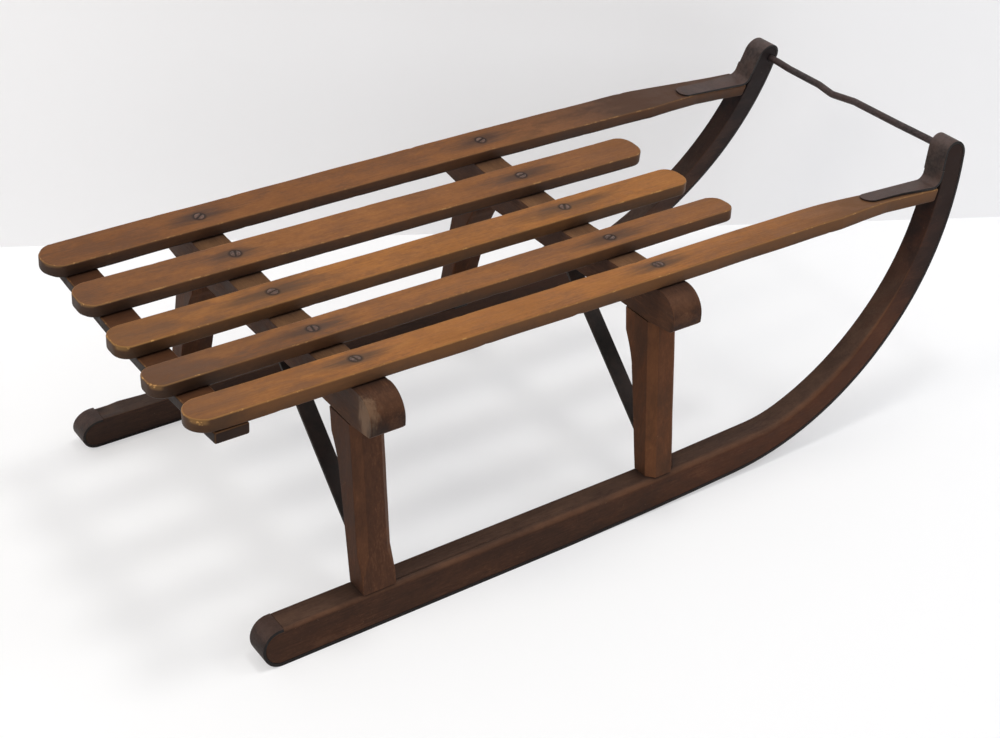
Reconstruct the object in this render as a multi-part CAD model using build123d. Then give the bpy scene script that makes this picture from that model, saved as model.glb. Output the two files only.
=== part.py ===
# A child's wooden sled: two bent runners shod with flat steel, four splayed posts, two cross
# beams, five lengthwise slats, flat iron braces and a bent steel rod between the horns.
# Millimetres. +X forward, +Y to the sled's left, +Z up, the floor at zero.
import os
from math import atan, atan2, cos, degrees, hypot, pi, radians, sin, sqrt, tan

from build123d import *

# Side frames: each leans inward, its runner and posts in one slanted slab.
footHalf = 204.5
splay = radians(9.17)
runnerWidth = 24.6
lean = tan(splay)

# Runner, outer line of the steel.
heelX = -276.0
heelDepth = 36.6
soleRun = 276.0
riseRadius = 5500.0
riseTurn = radians(2.73)
bendRadius = 360.0
bendTurn = radians(43.87)
hornTurn = radians(35.4)
noseOver = 21.4
noseRun = 2.0
hornLean = radians(76.9)

# Runner, upper line of the wood.
stripDepth = 28.5
topSlope = radians(2.15)
easeRadius = 173.0
easeEnd = radians(16.4)
jointTurn = radians(2.5)

# Steel shoe.
steel = 3.0
shoeLip = 4.0
coveRadius = 9.5
tongueLong = 92.0
tongueTip = 1.6
tongueTipRadius = 10.5
tongueStraight = 44.0
tongueLap = 4.0
seatGap = 0.15

# Across the seat, from the outer faces of the side frames at the seat's height; inward is plus.
tongueRootIn = -0.4
tongueRootWide = 24.3
tongueIn = 4.2
tongueWide = 19.6
beamOut = 37.2
kneeIn = 6.4

# Seat: heights and the dish of the beams' tops.
seatTop = 258.0
slatThick = 14.5
dishDeep = 7.0
dishMidDrop = 3.0
dishShares = (0.1842, 0.614, 0.7614)

# Beams.
beamX = 168.0
beamWide = 35.5
beamDeep = 38.5
beamRoundShare = 0.675
beamTipLowShare = 0.114
beamTipHighShare = 0.226
beamTipIn = 4.0

# Posts.
footSet = 3.5
postMidThick = 32.0
postMidShare = 0.673
flareMidThick = 36.2
flareMidShare = 0.774
flareThick = 41.4
flareShare = 0.857
postTopThick = 42.0
postChamfer = 8.0
stopRun = 26.0
rearStopShare = 0.15

# Tenons.
tenonLong = 20.0
footTenonThick = 10.0
footTenonDeep = 14.0
topTenonThick = 16.0
topTenonDeep = 20.0
tenonFit = 0.25
mortiseSpare = 0.6

# Rails: the two outer slats, their outer edges higher, their noses falling to the horns.
seatRear = -333.0
railTilt = radians(5.2)
railSink = 0.75
railRearRound = 16.0
railDropRun = 154.6
railDrop = radians(3.7)
railKneeRadius = 1500.0
railNoseRun = 79.0
railGap = 0.5

# Rails' plans: name, then the outer and the inner edge, outward from the frames' outer faces at
# the seat's height, at the rear end, the front beam, the knee and the nose.
railPlans = [
    ("rail_left", (2.3, -38.1), (10.1, -31.5), (11.2, -32.2), (9.2, -23.6)),
    ("rail_right", (2.5, -37.5), (9.5, -30.0), (10.0, -29.9), (1.0, -26.9)),
]

# Slats: name, y from and y to as shares of the seat's half width, rear end and front end past
# the seat's, side of the dish.
seatFront = 320.0
slatShares = [
    ("slat_left", 0.3219, 0.5793, 2.0, 0.0, 1),
    ("slat_middle", -0.1425, 0.1007, 0.0, 1.0, 0),
    ("slat_right", -0.5977, -0.3692, -3.0, -1.0, -1),
]
slatRoundShare = 0.4

# Batten under the slats' rear ends.
battenIn = 17.0
battenWide = 33.0
battenThick = 12.5
battenOut = 4.2

# Braces: one flat iron from post to post over the middle of each beam.
braceWide = 18.0
braceThick = 4.0
braceFlatHalf = 8.6
braceFootShare = 0.127
braceEndShare = 0.02
braceBend = 7.0

# Pull bar: corners of its centre line, y as a share of its half length, z from its ends' height.
barAhead = 4.6
barBelow = 3.0
barRadius = 4.0
barBend = 26.0
barInsert = 11.0
barShares = [
    (1.0, 0.0),
    (0.836, 0.0),
    (0.7, -1.3),
    (0.356, -1.4),
    (0.212, -4.4),
    (-0.027, 0.6),
    (-0.493, 1.2),
    (-0.795, 2.2),
    (-1.0, 2.2),
]
boreFit = 0.2
boreSpare = 1.0

# One overrun for cuts.
over = 12.0


def outerY(z):
    # outer face of the left side frame
    return footHalf - lean * z


# Heights and widths that follow.
seatBase = seatTop - slatThick
beamUnder = seatBase - beamDeep
legTall = beamUnder - heelDepth
seatHalf = outerY(seatTop)
beamHalf = seatHalf + beamOut
beamKnee = outerY(beamUnder) - kneeIn
battenHalf = seatHalf + battenOut
dishFlat, dishMid, dishEdge = [share * seatHalf for share in dishShares]

# The line both rails and tongues are tilted about: the strip's inner edge.
tiltY = seatHalf - runnerWidth
tiltZ = seatTop - railSink


def ahead(point, heading, run):
    return (point[0] + run * cos(heading), point[1] + run * sin(heading))


def aside(point, heading, distance):
    # to the left of the heading
    return (point[0] - distance * sin(heading), point[1] + distance * cos(heading))


def walk(point, heading, steps):
    # steps: (run, radius, turn). Stations: start, middle and end of each step with headings.
    stations = []
    for run, radius, turn in steps:
        if turn:
            side = 1 if turn > 0 else -1
            centre = aside(point, heading, side * radius)
            middle = aside(centre, heading + turn / 2, -side * radius)
            end = aside(centre, heading + turn, -side * radius)
            stations.append(((point, heading), (middle, heading + turn / 2), (end, heading + turn), True))
        else:
            end = ahead(point, heading, run)
            stations.append(((point, heading), None, (end, heading), False))
        point = end
        heading = heading + turn
    return stations


def lineAt(stations, offset):
    # the walked line, moved to its left
    edges = []
    for start, middle, end, curved in stations:
        p0 = aside(start[0], start[1], offset)
        p1 = aside(end[0], end[1], offset)
        if curved:
            edges.append(ThreePointArc(p0, aside(middle[0], middle[1], offset), p1))
        else:
            edges.append(Line(p0, p1))
    return edges


def cornered(points, radius):
    # a line through corner points with rounded corners, as a start, a heading and steps
    steps = []
    cut = 0.0
    first = atan2(points[1][1] - points[0][1], points[1][0] - points[0][0])
    heading = first
    for i in range(1, len(points)):
        a, b = points[i - 1], points[i]
        long = hypot(b[0] - a[0], b[1] - a[1])
        if i + 1 < len(points):
            c = points[i + 1]
            onward = atan2(c[1] - b[1], c[0] - b[0])
            turn = (onward - heading + pi) % (2 * pi) - pi
            nextCut = radius * tan(abs(turn) / 2)
            steps.append((long - cut - nextCut, 0, 0))
            steps.append((0, radius, turn))
            heading = onward
            cut = nextCut
        else:
            steps.append((long - cut, 0, 0))
    return points[0], first, steps


def reach(point, heading, centre, radius):
    # run from the point along the heading to the far side of a circle
    dx, dz = point[0] - centre[0], point[1] - centre[1]
    b = dx * cos(heading) + dz * sin(heading)
    c = dx * dx + dz * dz - radius * radius
    return -b + sqrt(b * b - c)


def meet(p, ph, q, qh):
    # run from p along ph to the line through q along qh
    dx, dz = q[0] - p[0], q[1] - p[1]
    return (dx * sin(qh) - dz * cos(qh)) / (cos(ph) * sin(qh) - sin(ph) * cos(qh))


def sidePrism(edges, halfWide):
    return extrude(Plane.XZ * make_face(edges), halfWide, both=True)


def polyEdges(points):
    return [Line(a, b) for a, b in zip(points, points[1:] + points[:1])]


def tilted(shape):
    # outer edge up, about the strip's inner edge
    return Pos(0, tiltY, tiltZ) * Rot(degrees(railTilt), 0, 0) * Pos(0, -tiltY, -tiltZ) * shape


def railUnder(y):
    # height of the tilted rails' underside
    return tiltZ + (y - tiltY) * tan(railTilt) - slatThick / cos(railTilt)


def slab(width):
    # the slanted slab of the left side frame, past the sled's both ends
    low, high = -over, seatTop + noseOver + over + over
    points = [
        (outerY(low), low),
        (outerY(high), high),
        (outerY(high) - width, high),
        (outerY(low) - width, low),
    ]
    far = hornCentre[0] + hornRadius + over
    return extrude(Plane.YZ * make_face(polyEdges(points)), far, both=True)


# The steel's outer line, from its lip on the heel round to the foot of the horn's rear face.
lipStart = (heelX + shoeLip, heelDepth)
lowSteps = [
    (shoeLip, 0, 0),
    (0, heelDepth / 2, pi),
    (soleRun, 0, 0),
    (0, riseRadius, riseTurn),
    (0, bendRadius, bendTurn),
]
lowLine = walk(lipStart, pi, lowSteps)
bendStart = lowLine[3][2]
hornStart = lowLine[4][2]
noseSlope = riseTurn + bendTurn + hornTurn
hornTall = seatTop + noseOver - noseRun * sin(noseSlope) - hornStart[0][1]
hornRadius = hornTall / (cos(riseTurn + bendTurn) - cos(noseSlope))
lowLine = lowLine + walk(hornStart[0], hornStart[1], [(0, hornRadius, hornTurn), (noseRun, 0, 0)])
noseEnd = lowLine[6][2]
bendCentre = aside(bendStart[0], bendStart[1], bendRadius)
hornCentre = aside(hornStart[0], hornStart[1], hornRadius)

# The horn's rear face is tangent to the strip's inner curve; the tip's radius follows.
rearUp = hornLean
rearPoint = aside(hornCentre, rearUp, -(hornRadius - stripDepth - steel))
facing = noseEnd[1] - 2 * pi
gapAcross = (noseEnd[0][0] - rearPoint[0]) * sin(rearUp) - (noseEnd[0][1] - rearPoint[1]) * cos(rearUp)
tipRadius = gapAcross / (1 + cos(facing - rearUp))
tipTurn = pi + rearUp - facing
tipLine = walk(noseEnd[0], facing, [(0, tipRadius, tipTurn)])
tipEnd = tipLine[0][2]

tipCentre = aside(noseEnd[0], facing, tipRadius)
barX = tipCentre[0] + barAhead
barZ = tipCentre[1] - barBelow
barHalf = outerY(barZ) - runnerWidth + barInsert
barCorners = [(share * barHalf, barZ + rise) for share, rise in barShares]

# The rail's top falls toward the horn; the steel bends from the rear face onto it.
railKnee = (rearPoint[0] - railDropRun, tiltZ)
tongueStart = aside(railKnee, -railDrop, steel)
rearDown = rearUp + pi
backUp = pi - railDrop
coveTurn = backUp - rearDown
coveCut = coveRadius * tan(abs(coveTurn) / 2)
rearRun = meet(tipEnd[0], rearDown, tongueStart, backUp) - coveCut
rearLine = walk(tipEnd[0], rearDown, [(rearRun, 0, 0)])
wrap = lowLine + tipLine + walk(tipEnd[0], rearDown, [(rearRun - tongueLap, 0, 0)])
wrapEnd = wrap[-1][2][0]
wrapFace = lineAt(wrap, 0) + lineAt(wrap, steel) + [
    Line(lipStart, aside(lipStart, pi, steel)),
    Line(wrapEnd, aside(wrapEnd, rearDown, steel)),
]
wrapSolid = sidePrism(wrapFace, footHalf + over) & slab(runnerWidth)

# The tongue with its bend, lapping the wrap, tilted with the rail.
lapRun = tongueLap + tongueLap
lapStart = ahead(rearLine[0][2][0], rearDown, -lapRun)
coveLine = walk(lapStart, rearDown, [(lapRun, 0, 0), (0, coveRadius, coveTurn)])
coveEnd = coveLine[1][2][0]
coveSeat = aside(coveEnd, backUp, steel)
tongueEnd = ahead(coveEnd, backUp, tongueLong)
tongueSeat = aside(tongueEnd, backUp, steel)
tongueTop = aside(tongueEnd, backUp, steel - tongueTip)
tongueFace = lineAt(coveLine, 0) + lineAt(coveLine, steel) + [
    Line(lapStart, aside(lapStart, rearDown, steel)),
    Line(coveEnd, tongueTop),
    Line(tongueTop, tongueSeat),
    Line(tongueSeat, coveSeat),
]
tongueFore = tipEnd[0][0] + over
tongueRear = tongueEnd[0]
rootTo = seatHalf - tongueRootIn
rootFrom = rootTo - tongueRootWide
tongueTo = seatHalf - tongueIn
tongueFrom = tongueTo - tongueWide
neckX = coveEnd[0] - tongueStraight
roundX = tongueRear + tongueTipRadius
tonguePlan = [
    Line((tongueFore, rootTo), (coveEnd[0], rootTo)),
    Line((coveEnd[0], rootTo), (neckX, tongueTo)),
    Line((neckX, tongueTo), (roundX, tongueTo)),
    ThreePointArc((roundX, tongueTo), (tongueRear, (tongueFrom + tongueTo) / 2), (roundX, tongueFrom)),
    Line((roundX, tongueFrom), (neckX, tongueFrom)),
    Line((neckX, tongueFrom), (coveEnd[0], rootFrom)),
    Line((coveEnd[0], rootFrom), (tongueFore, rootFrom)),
    Line((tongueFore, rootFrom), (tongueFore, rootTo)),
]
tongueSolid = sidePrism(tongueFace, footHalf + over) & extrude(make_face(tonguePlan), seatTop + seatTop)
shoe = wrapSolid + tilted(tongueSolid)

# The runner's wood: inside the steel, its top easing into the bend's inner curve.
woodSeat = lineAt(lowLine + tipLine + rearLine, steel + seatGap)
seatStart = aside(lipStart, pi, steel + seatGap)
seatEnd = aside(rearLine[0][2][0], rearDown, steel + seatGap)
stepX = lipStart[0] + seatGap
bendIn = bendRadius - stripDepth
hornIn = hornRadius - stripDepth
easeLast = aside(bendCentre, easeEnd, -bendIn)
easeFirst = aside(aside(easeLast, easeEnd, easeRadius), topSlope, -easeRadius)
topRadius = (easeFirst[1] - heelDepth) / (1 - cos(topSlope))
topSteps = [
    (easeFirst[0] - topRadius * sin(topSlope) - stepX, 0, 0),
    (0, topRadius, topSlope),
    (0, easeRadius, easeEnd - topSlope),
    (0, bendIn, riseTurn + bendTurn - easeEnd),
    (0, hornIn, hornLean - jointTurn - riseTurn - bendTurn),
]
topLine = walk((stepX, heelDepth), 0, topSteps)
topLast = topLine[-1][2][0]
woodFace = woodSeat + lineAt(topLine, 0) + [
    Line(seatStart, (stepX, seatStart[1])),
    Line((stepX, seatStart[1]), (stepX, heelDepth)),
    Line(topLast, seatEnd),
]
woodPrism = sidePrism(woodFace, footHalf + over)
runner = woodPrism & slab(runnerWidth)


def upright(points):
    # a Y-Z outline carried the whole length of the sled
    return extrude(Plane.YZ * make_face(points), footHalf + footHalf, both=True)


def postSection(cx, side, z, size):
    # triangle cut off an outer corner of a post at one height
    x = cx - footSet * (beamUnder - z) / (beamUnder - heelDepth) + side * beamWide / 2
    y = outerY(z)
    points = [
        (x + side * over, y + over),
        (x + side * over, y - size - over),
        (x - side * (size + over), y + over),
    ]
    return Pos(0, 0, z) * make_face(polyEdges(points))


def legAt(share, thick):
    # a point of the post's inner face, by its height's share of the leg
    z = heelDepth + share * legTall
    return (outerY(z) - thick, z)


def post(cx, stopZ):
    low = heelDepth - over
    shift = footSet * (beamUnder - low) / (beamUnder - heelDepth)
    half = beamWide / 2
    sides = [
        (cx - half, beamUnder),
        (cx + half, beamUnder),
        (cx + half - shift, low),
        (cx - half - shift, low),
    ]
    top = legAt(1, postTopThick)
    flare = legAt(flareShare, flareThick)
    middle = legAt(postMidShare, postMidThick)
    foot = legAt(0, runnerWidth)
    lowFoot = (outerY(low) - runnerWidth, low)
    frontal = [
        Line((outerY(low), low), (outerY(beamUnder), beamUnder)),
        Line((outerY(beamUnder), beamUnder), top),
        Line(top, flare),
        ThreePointArc(flare, legAt(flareMidShare, flareMidThick), middle),
        Line(middle, foot),
        Line(foot, lowFoot),
        Line(lowFoot, (outerY(low), low)),
    ]
    body = sidePrism(polyEdges(sides), footHalf + over) & upright(frontal)
    for side in (-1, 1):
        if stopZ:
            cuts = [(stopZ - stopRun / 2, 0.0), (stopZ + stopRun / 2, postChamfer)]
        else:
            cuts = [(low - over, postChamfer)]
        cuts.append((beamUnder + over, postChamfer))
        body -= loft([postSection(cx, side, z, size) for z, size in cuts], ruled=True)
    body -= woodPrism
    return body + footTenon(cx, 0.0, 0.0) + topTenon(cx, 0.0, 0.0)


def footTenon(cx, fit, spare):
    # vertical tenon into the runner; with a fit it is the mortise
    y = outerY(heelDepth - footTenonDeep / 2) - runnerWidth / 2
    tall = footTenonDeep + over
    size = Box(tenonLong + 2 * fit, footTenonThick + 2 * fit, tall + spare)
    return Pos(cx - footSet, y, heelDepth + over - (tall + spare) / 2) * size


def topTenon(cx, fit, spare):
    y = outerY(beamUnder) - postTopThick / 2
    tall = topTenonDeep + over
    size = Box(tenonLong + 2 * fit, topTenonThick + 2 * fit, tall + spare)
    return Pos(cx, y, beamUnder - over + (tall + spare) / 2) * size


def topProfile(edge):
    # the seat's dished line, middle to edge
    return [
        (dishFlat, seatBase - dishDeep),
        (dishMid, seatBase - dishMidDrop),
        (dishEdge, railUnder(dishEdge)),
        (edge, railUnder(edge)),
    ]


def beam(cx):
    # the end's rounding turns from the upright tip into the rails' slope
    beamRound = beamDeep * beamRoundShare
    shoulder = beamHalf - beamRound * (1 + sin(railTilt))
    roundY = beamHalf - beamRound
    roundZ = railUnder(shoulder) - beamRound * cos(railTilt)
    middle = (pi / 2 + railTilt) / 2
    edges = []
    for side in (1, -1):
        near = [
            (0.0, beamUnder),
            (side * beamKnee, beamUnder),
            (side * (beamHalf - beamTipIn), beamUnder + beamDeep * beamTipLowShare),
            (side * beamHalf, beamUnder + beamDeep * beamTipHighShare),
            (side * beamHalf, roundZ),
        ]
        rounded = (side * (roundY + beamRound * cos(middle)), roundZ + beamRound * sin(middle))
        top = [(side * y, z) for y, z in reversed(topProfile(shoulder))]
        top.append((0.0, top[-1][1]))
        edges = edges + [Line(a, b) for a, b in zip(near, near[1:])]
        edges.append(ThreePointArc(near[-1], rounded, top[0]))
        edges = edges + [Line(a, b) for a, b in zip(top, top[1:])]
    solid = extrude(Plane.YZ * make_face(edges), beamWide / 2, both=True)
    solid = Pos(cx, 0, 0) * solid
    hole = topTenon(cx, tenonFit, mortiseSpare)
    return solid - hole - mirror(hole, about=Plane.XZ)


def rail(rearAt, beamAt, kneeAt, noseAt):
    # built level, then tilted: toed in toward the rear end, tapering to the horn
    rear = seatRear - over
    kneeCut = railKneeRadius * tan(railDrop / 2)
    line = walk((rear, tiltZ), 0, [(railKnee[0] - kneeCut - rear, 0, 0), (0, railKneeRadius, -railDrop)])
    topKnee = line[-1][2][0]
    lowKnee = aside(topKnee, -railDrop, -slatThick)
    topTip = ahead(topKnee, -railDrop, reach(topKnee, -railDrop, hornCentre, hornIn - railGap))
    lowTip = ahead(lowKnee, -railDrop, reach(lowKnee, -railDrop, hornCentre, hornIn - railGap))
    sides = lineAt(line, 0) + lineAt(line, -slatThick) + [
        Line((rear, tiltZ), (rear, tiltZ - slatThick)),
        Line(topKnee, topTip),
        Line(topTip, lowTip),
        Line(lowTip, lowKnee),
    ]
    roundX = seatRear + railRearRound
    stations = [
        (roundX, rearAt),
        (beamX, beamAt),
        (railKnee[0], kneeAt),
        (rearPoint[0] - railNoseRun, noseAt),
        (topTip[0] + over, noseAt),
    ]
    outer = [(x, seatHalf + edge[0]) for x, edge in stations]
    inner = [(x, seatHalf + edge[1]) for x, edge in reversed(stations)]
    outline = outer + inner
    middle = (outline[0][1] + outline[-1][1]) / 2
    plan = [Line(a, b) for a, b in zip(outline, outline[1:])]
    plan.append(ThreePointArc(outline[-1], (seatRear, middle), outline[0]))
    return tilted(sidePrism(sides, footHalf) & extrude(make_face(plan), seatTop + over))


def slat(fromShare, toShare, rearPast, frontPast, side):
    tilt = atan((dishDeep - dishMidDrop) / (dishMid - dishFlat)) * side
    start = side * dishFlat
    a = (fromShare * seatHalf - start) / cos(tilt)
    b = (toShare * seatHalf - start) / cos(tilt)
    rearEnd = seatRear + rearPast
    frontEnd = seatFront + frontPast
    outline = RectangleRounded(frontEnd - rearEnd, b - a, (b - a) * slatRoundShare)
    board = extrude(Pos((rearEnd + frontEnd) / 2, (a + b) / 2, 0) * outline, slatThick)
    return Pos(0, start, seatBase - dishDeep) * Rot(degrees(tilt), 0, 0) * board


def batten():
    right = topProfile(battenHalf)
    upper = [(-y, z) for y, z in reversed(right)] + right
    lower = [(y, z - battenThick) for y, z in reversed(upper)]
    solid = extrude(Plane.YZ * make_face(polyEdges(upper + lower)), battenWide / 2, both=True)
    return Pos(seatRear + battenIn + battenWide / 2, 0, 0) * solid


def brace(cx):
    def onPost(share):
        thick = runnerWidth + (postMidThick - runnerWidth) * share / postMidShare
        y, z = legAt(share, thick)
        return (y - seatGap, z)

    corners = [onPost(braceEndShare), onPost(braceFootShare), (braceFlatHalf, beamUnder - seatGap)]
    corners = corners + [(-y, z) for y, z in reversed(corners)]
    start, heading, steps = cornered(corners, braceBend)
    stations = walk(start, heading, steps)
    outer = lineAt(stations, 0)
    inner = lineAt(stations, braceThick)
    last = stations[-1][2]
    ends = [
        Line(start, aside(start, heading, braceThick)),
        Line(last[0], aside(last[0], last[1], braceThick)),
    ]
    strap = extrude(Plane.YZ * make_face(outer + inner + ends), braceWide / 2, both=True)
    return Pos(cx, 0, 0) * strap


def pullBar():
    start, heading, steps = cornered(barCorners, barBend)
    path = Plane.YZ * Wire(lineAt(walk(start, heading, steps), 0))
    section = Plane(origin=path @ 0, z_dir=path % 0) * Circle(barRadius)
    return Pos(barX, 0, 0) * sweep(section, path=path)


def barBore():
    # blind bores for the rod's two ends
    holes = []
    for end, side in ((barCorners[0], 1), (barCorners[-1], -1)):
        deep = end[0] * side + boreSpare
        middle = side * (deep - over)
        hole = Rot(90, 0, 0) * Cylinder(barRadius + boreFit, over + over)
        holes.append(Pos(barX, middle, end[1]) * hole)
    return holes


# Pieces, by their nodes' names.
pieces = {}
bores = barBore()
rightRunner = mirror(runner, about=Plane.XZ)
for where, cx in (("rear", -beamX), ("front", beamX)):
    mortise = footTenon(cx, tenonFit, mortiseSpare)
    runner -= mortise
    rightRunner -= mirror(mortise, about=Plane.XZ)
    left = post(cx, heelDepth + rearStopShare * legTall if cx < 0 else 0)
    pieces["post_" + where + "_left"] = left
    pieces["post_" + where + "_right"] = mirror(left, about=Plane.XZ)
    pieces["beam_" + where] = beam(cx)
    pieces["brace_" + where] = brace(cx)
pieces["runner_left"] = runner - bores[0]
pieces["runner_right"] = rightRunner - bores[1]
pieces["shoe_left"] = shoe
pieces["shoe_right"] = mirror(shoe, about=Plane.XZ)
for name, rearAt, beamAt, kneeAt, noseAt in railPlans:
    board = rail(rearAt, beamAt, kneeAt, noseAt)
    pieces[name] = mirror(board, about=Plane.XZ) if name == "rail_right" else board
for name, fromShare, toShare, rearPast, frontPast, side in slatShares:
    pieces[name] = slat(fromShare, toShare, rearPast, frontPast, side)
pieces["batten_rear"] = batten()
pieces["pull_bar"] = pullBar()

# The origin is under the middle of the whole.
bounds = [piece.bounding_box() for piece in pieces.values()]
middleX = (min(b.min.X for b in bounds) + max(b.max.X for b in bounds)) / 2
os.makedirs("parts", exist_ok=True)
for name, piece in pieces.items():
    export_step(Pos(-middleX, 0, 0) * piece, "parts/" + name + ".step")
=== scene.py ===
# Old wooden sled: the CAD frame dressed with worn wood, dark steel and screws.
from math import cos, pi, radians, sin, tan

import bmesh
import bpy
import numpy as np
from mathutils import Matrix, Vector


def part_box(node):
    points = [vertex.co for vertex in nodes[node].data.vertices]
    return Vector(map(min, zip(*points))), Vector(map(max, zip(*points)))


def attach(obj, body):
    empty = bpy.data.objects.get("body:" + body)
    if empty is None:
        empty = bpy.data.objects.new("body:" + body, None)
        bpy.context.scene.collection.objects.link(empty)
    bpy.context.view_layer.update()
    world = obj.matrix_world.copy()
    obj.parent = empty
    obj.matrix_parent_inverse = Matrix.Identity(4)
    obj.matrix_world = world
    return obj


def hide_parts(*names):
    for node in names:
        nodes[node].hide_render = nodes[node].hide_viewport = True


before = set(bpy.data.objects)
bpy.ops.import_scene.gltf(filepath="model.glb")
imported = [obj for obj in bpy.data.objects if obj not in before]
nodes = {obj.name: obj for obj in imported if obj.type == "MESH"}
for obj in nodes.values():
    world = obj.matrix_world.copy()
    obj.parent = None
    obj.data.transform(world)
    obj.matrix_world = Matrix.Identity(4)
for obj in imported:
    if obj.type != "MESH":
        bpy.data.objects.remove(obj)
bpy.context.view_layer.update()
print("frame loaded:", len(nodes), "nodes")


# camera: where the photographer stood
cameraSetup = {
    "place": (-0.9593, -1.2182, 1.0843),
    "azimuth": 37.54,      # degrees from +Y towards +X
    "elevation": 33.34,    # looking down
    "roll": 4.01,
    "lens": 62.79,         # mm
    "sensor": 36.0,        # mm wide
    "near": 0.05,
    "far": 50.0,
}


def placeCamera(setup):
    az, el, roll = (radians(setup[k]) for k in ("azimuth", "elevation", "roll"))
    look = Vector((sin(az) * cos(el), cos(az) * cos(el), -sin(el)))
    right = Vector((cos(az), -sin(az), 0.0))
    up = right.cross(look)
    tiltedRight = right * cos(roll) + up * sin(roll)
    tiltedUp = up * cos(roll) - right * sin(roll)
    data = bpy.data.cameras.new("photoCamera")
    data.sensor_fit = "HORIZONTAL"
    data.sensor_width = setup["sensor"]
    data.lens = setup["lens"]
    data.clip_start = setup["near"]
    data.clip_end = setup["far"]
    camera = bpy.data.objects.new("photoCamera", data)
    bpy.context.scene.collection.objects.link(camera)
    turned = Matrix((tiltedRight, tiltedUp, -look)).transposed().to_4x4()
    camera.matrix_world = Matrix.Translation(setup["place"]) @ turned
    bpy.context.scene.camera = camera


placeCamera(cameraSetup)
print("camera placed")


# small helpers for node trees
def newNode(tree, kind, place=(0, 0), **settings):
    node = tree.nodes.new(kind)
    node.location = place
    for name, value in settings.items():
        setattr(node, name, value)
    return node


def feed(tree, socket, source):
    # a socket takes a link, a colour, a vector or a number
    if hasattr(source, "is_output"):
        tree.links.new(source, socket)
    else:
        socket.default_value = source


def noise(tree, vector, scale, detail=3.0, rough=0.55, distortion=0.0):
    node = newNode(tree, "ShaderNodeTexNoise")
    feed(tree, node.inputs["Vector"], vector)
    feed(tree, node.inputs["Scale"], scale)
    node.inputs["Detail"].default_value = detail
    node.inputs["Roughness"].default_value = rough
    node.inputs["Distortion"].default_value = distortion
    return node.outputs["Fac"]


def stretched(tree, vector, scale, place=(0.0, 0.0, 0.0), turn=(0.0, 0.0, 0.0)):
    node = newNode(tree, "ShaderNodeMapping")
    feed(tree, node.inputs["Vector"], vector)
    node.inputs["Location"].default_value = place
    node.inputs["Rotation"].default_value = turn
    node.inputs["Scale"].default_value = scale
    return node.outputs["Vector"]


def math(tree, operation, first, second=0.0, third=0.0, clamp=False):
    node = newNode(tree, "ShaderNodeMath", operation=operation, use_clamp=clamp)
    for socket, value in zip(node.inputs, (first, second, third)):
        feed(tree, socket, value)
    return node.outputs[0]


def ramp(tree, value, low, high, outLow=0.0, outHigh=1.0):
    # smooth step from outLow to outHigh while value goes from low to high
    node = newNode(tree, "ShaderNodeMapRange", interpolation_type="SMOOTHSTEP")
    for socket, item in zip(node.inputs, (value, low, high, outLow, outHigh)):
        feed(tree, socket, item)
    return node.outputs[0]


def blend(tree, amount, first, second, kind="MIX"):
    node = newNode(tree, "ShaderNodeMix", data_type="RGBA", blend_type=kind)
    feed(tree, node.inputs[0], amount)
    feed(tree, node.inputs[6], first)
    feed(tree, node.inputs[7], second)
    return node.outputs[2]


def rgb(red, green, blue):
    return (red, green, blue, 1.0)


def newGroup(name, inputs, outputs):
    tree = bpy.data.node_groups.new(name, "ShaderNodeTree")
    for label, kind, value in inputs:
        socket = tree.interface.new_socket(name=label, in_out="INPUT", socket_type=kind)
        if value is not None:
            socket.default_value = value
    for label, kind in outputs:
        tree.interface.new_socket(name=label, in_out="OUTPUT", socket_type=kind)
    begin = newNode(tree, "NodeGroupInput", (-900, 0))
    end = newNode(tree, "NodeGroupOutput", (900, 0))
    return tree, begin, end


def useGroup(tree, group, **values):
    node = newNode(tree, "ShaderNodeGroup")
    node.node_tree = group
    for label, value in values.items():
        feed(tree, node.inputs[label], value)
    return node


# shared effects, each one node group
def makeEdgeWear():
    # mask of the arrises: where the rounded normal leaves the flat one, broken up by noise
    inputs = [
        ("Vector", "NodeSocketVector", None),
        ("Radius", "NodeSocketFloat", 0.002),
        ("Breakup", "NodeSocketFloat", 60.0),
    ]
    tree, begin, end = newGroup("edgeWear", inputs, [("Mask", "NodeSocketFloat")])
    bevelled = newNode(tree, "ShaderNodeBevel", samples=6)
    feed(tree, bevelled.inputs["Radius"], begin.outputs["Radius"])
    flat = newNode(tree, "ShaderNodeNewGeometry")
    dot = newNode(tree, "ShaderNodeVectorMath", operation="DOT_PRODUCT")
    feed(tree, dot.inputs[0], bevelled.outputs[0])
    feed(tree, dot.inputs[1], flat.outputs["Normal"])
    edge = ramp(tree, dot.outputs["Value"], 0.995, 0.86)
    patchy = noise(tree, begin.outputs["Vector"], begin.outputs["Breakup"], 4.0, 0.6)
    broken = ramp(tree, patchy, 0.36, 0.62)
    feed(tree, end.inputs["Mask"], math(tree, "MULTIPLY", edge, broken, clamp=True))
    return tree


# the grain's layers: how dense each is along and across the fibres, per metre
grainDense = {
    "bands": (2.4, 30.0),
    "lines": (14.0, 480.0),
    "flecks": (70.0, 1100.0),
    "mottle": (18.0, 44.0),
    "tooth": (240.0, 460.0),
}


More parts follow.
